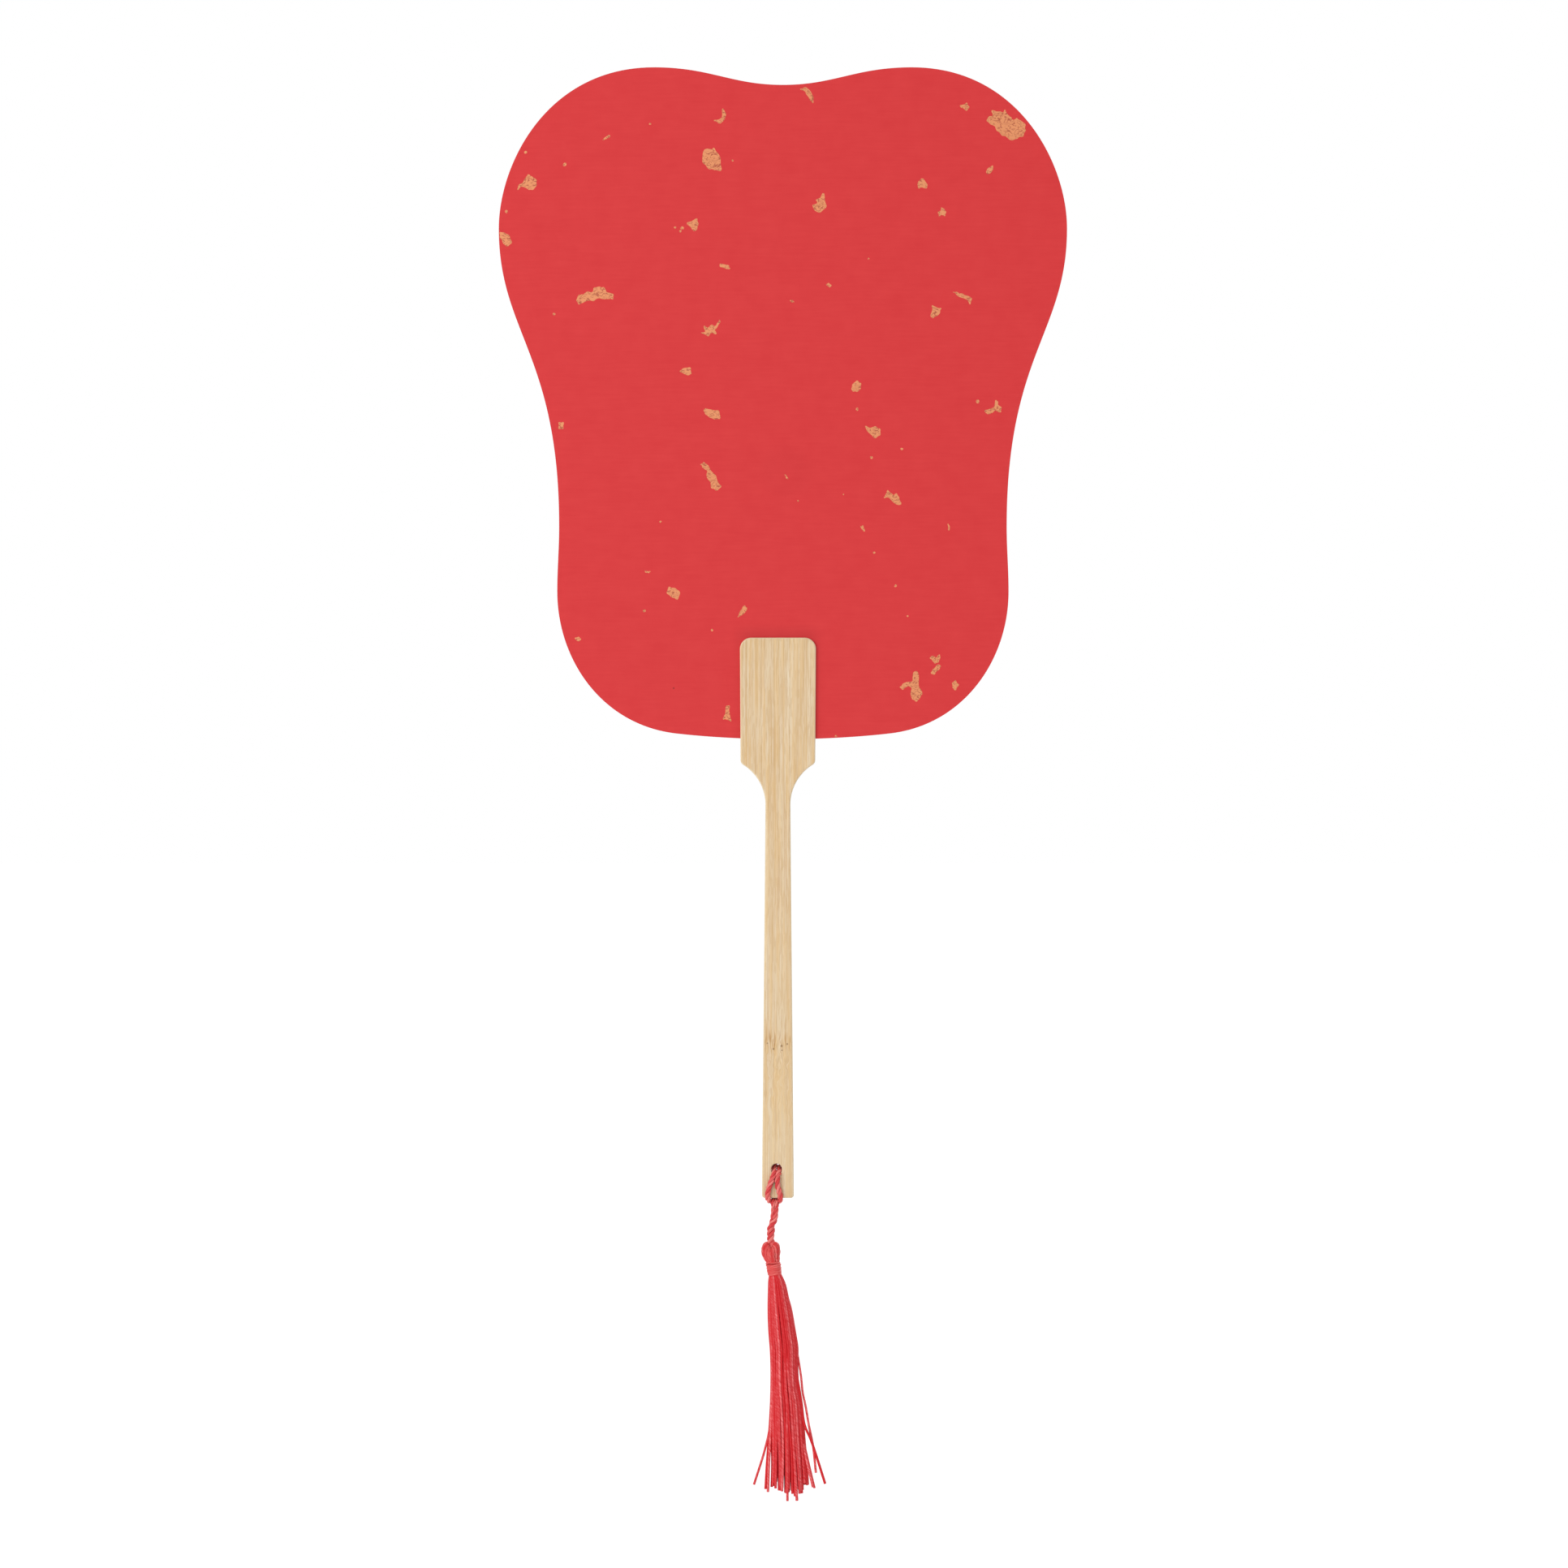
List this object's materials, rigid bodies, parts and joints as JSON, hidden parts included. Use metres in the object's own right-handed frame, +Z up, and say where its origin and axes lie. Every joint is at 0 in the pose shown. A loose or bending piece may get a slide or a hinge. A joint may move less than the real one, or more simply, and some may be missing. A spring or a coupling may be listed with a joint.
{
  "type": "rigid hand fan",
  "caption": "Rigid paddle hand fan: a flat paper-faced card leaf glued into a slit bamboo handle, with a tassel on a doubled cord hitched through the handle's end.",
  "frame": {"origin": "middle of the grip: on the handle's centre line, half-way through its thickness, 81.2 mm above its lower end", "axes": "+Z up the handle towards the leaf, +X to the right as seen from the front, -Y out of the front face"},
  "size_m": [0.21, 0.01, 0.5283],
  "materials": {
    "bamboo": "sanded and lightly waxed bamboo with fine straight fibre streaks",
    "board": "die-cut card, red-stained at its cut edge",
    "paper": "matte red paper sprinkled with flecks of gold foil",
    "cord": "plied and twisted rayon cord with a soft sheen",
    "thread": "loosely twisted rayon thread with a soft sheen"
  },
  "bodies": {
    "fan": {"handle": "bamboo", "leaf_board": "board", "front_paper": "paper", "back_paper": "paper", "hitch_loop": "cord"},
    "cord_upper": {"cord_upper_left": "cord", "cord_upper_right": "cord"},
    "cord_lower": {"cord_lower_left": "cord", "cord_lower_right": "cord"},
    "knot": {"cord_knot": "cord"},
    "tassel": {"tassel_head": "thread", "neck_binding": "thread", "skirt_thread_01": "thread", "skirt_thread_02": "thread", "skirt_thread_03": "thread", "skirt_thread_04": "thread", "skirt_thread_05": "thread", "skirt_thread_06": "thread", "skirt_thread_07": "thread", "skirt_thread_08": "thread", "skirt_thread_09": "thread", "skirt_thread_10": "thread", "skirt_thread_11": "thread", "skirt_thread_12": "thread", "skirt_thread_13": "thread", "skirt_thread_14": "thread", "skirt_thread_15": "thread", "skirt_thread_16": "thread", "skirt_thread_17": "thread", "skirt_thread_18": "thread", "skirt_thread_19": "thread", "skirt_thread_20": "thread", "skirt_thread_21": "thread", "skirt_thread_22": "thread", "skirt_thread_23": "thread", "skirt_thread_24": "thread", "skirt_thread_25": "thread", "skirt_thread_26": "thread", "skirt_thread_27": "thread", "skirt_thread_28": "thread", "skirt_thread_29": "thread", "skirt_thread_30": "thread", "skirt_thread_31": "thread", "skirt_thread_32": "thread", "skirt_thread_33": "thread", "skirt_thread_34": "thread", "skirt_thread_35": "thread", "skirt_thread_36": "thread"}
  },
  "joints": [
    {"name": "cord_swing", "type": "hinge", "parent": "fan", "child": "cord_upper", "pos_m": [-0.0012, -0.0018, -0.0854], "axis": [0, 1, 0], "range_deg": [-70, 70]},
    {"name": "cord_fold", "type": "hinge", "parent": "cord_upper", "child": "cord_lower", "pos_m": [-0.0017, -0.0018, -0.0902], "axis": [1, 0, 0], "range_deg": [-70, 70]},
    {"name": "tassel_tilt", "type": "hinge", "parent": "cord_lower", "child": "knot", "pos_m": [-0.0025, -0.0018, -0.0964], "axis": [0, 1, 0], "range_deg": [-60, 60]},
    {"name": "tassel_spin", "type": "hinge", "parent": "knot", "child": "tassel", "pos_m": [-0.0025, -0.0018, -0.0976], "axis": [-0.134, 0, 0.991], "range_deg": [-180, 180]}
  ]
}
